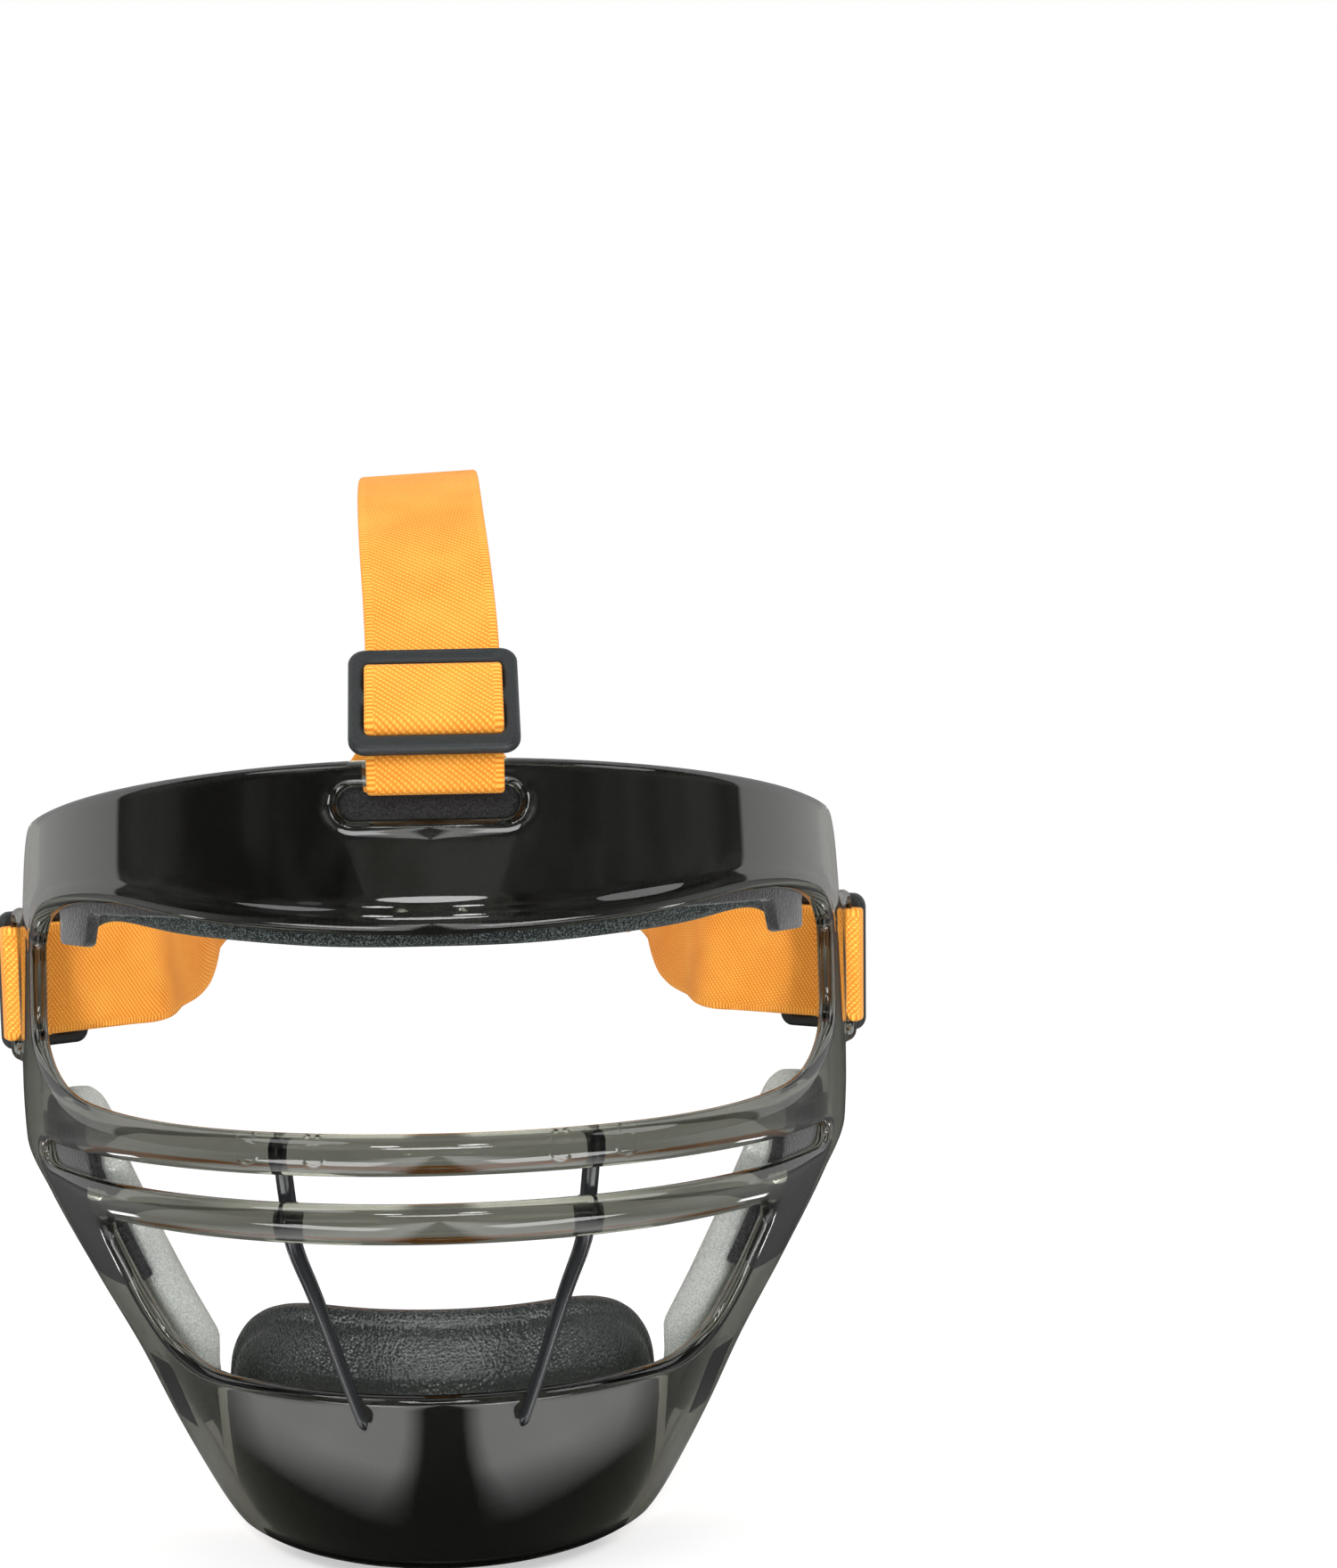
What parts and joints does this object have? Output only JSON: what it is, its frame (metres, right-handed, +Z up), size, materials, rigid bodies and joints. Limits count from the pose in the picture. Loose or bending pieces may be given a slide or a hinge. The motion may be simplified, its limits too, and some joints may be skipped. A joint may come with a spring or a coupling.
{
  "type": "softball face guard",
  "caption": "Smoke-tinted moulded face guard with crossbars, guard rods, foam pads and an orange elastic harness with slide buckles.",
  "frame": {"origin": "midway between the two side strap slots, about the middle of the wearer's head", "axes": "+X towards the wearer's left, -Y towards the front of the face, +Z up"},
  "size_m": [0.1944, 0.2087, 0.2222],
  "materials": {
    "smoke": "gloss",
    "rod": "gloss",
    "hook": "matte",
    "pad": "satin",
    "foam": "matte",
    "buckle": "satin",
    "webbing": "matte"
  },
  "bodies": {
    "guard": {"shell": "smoke", "guard_rod_right": "rod", "guard_rod_left": "rod", "brow_hook_strip": "hook", "forehead_pad": "pad", "chin_pad": "pad", "chin_hook_patch_right": "hook", "chin_hook_patch_left": "hook", "cheek_pad_right": "foam", "cheek_pad_left": "foam", "cheek_hook_patch_upper_right": "hook", "cheek_hook_patch_lower_right": "hook", "cheek_hook_patch_upper_left": "hook", "cheek_hook_patch_lower_left": "hook", "top_strap": "webbing", "crown_strap_right": "webbing", "crown_strap_left": "webbing", "rear_strap": "webbing", "side_strap_right": "webbing", "side_strap_left": "webbing"},
    "top_slider": {"buckle_top": "buckle", "strap_end_top": "webbing"},
    "right_slider": {"buckle_right": "buckle", "strap_end_right": "webbing"},
    "left_slider": {"buckle_left": "buckle", "strap_end_left": "webbing"}
  },
  "joints": [
    {"name": "top_buckle_slide", "type": "slide", "parent": "guard", "child": "top_slider", "axis": [0, 0.6157, 0.788], "range_m": [-0.003, 0.012]},
    {"name": "right_buckle_slide", "type": "slide", "parent": "guard", "child": "right_slider", "axis": [-0.6691, 0.7431, 0], "range_m": [-0.003, 0.012]},
    {"name": "left_buckle_slide", "type": "slide", "parent": "guard", "child": "left_slider", "axis": [0.6691, 0.7431, 0], "range_m": [-0.003, 0.012]}
  ]
}
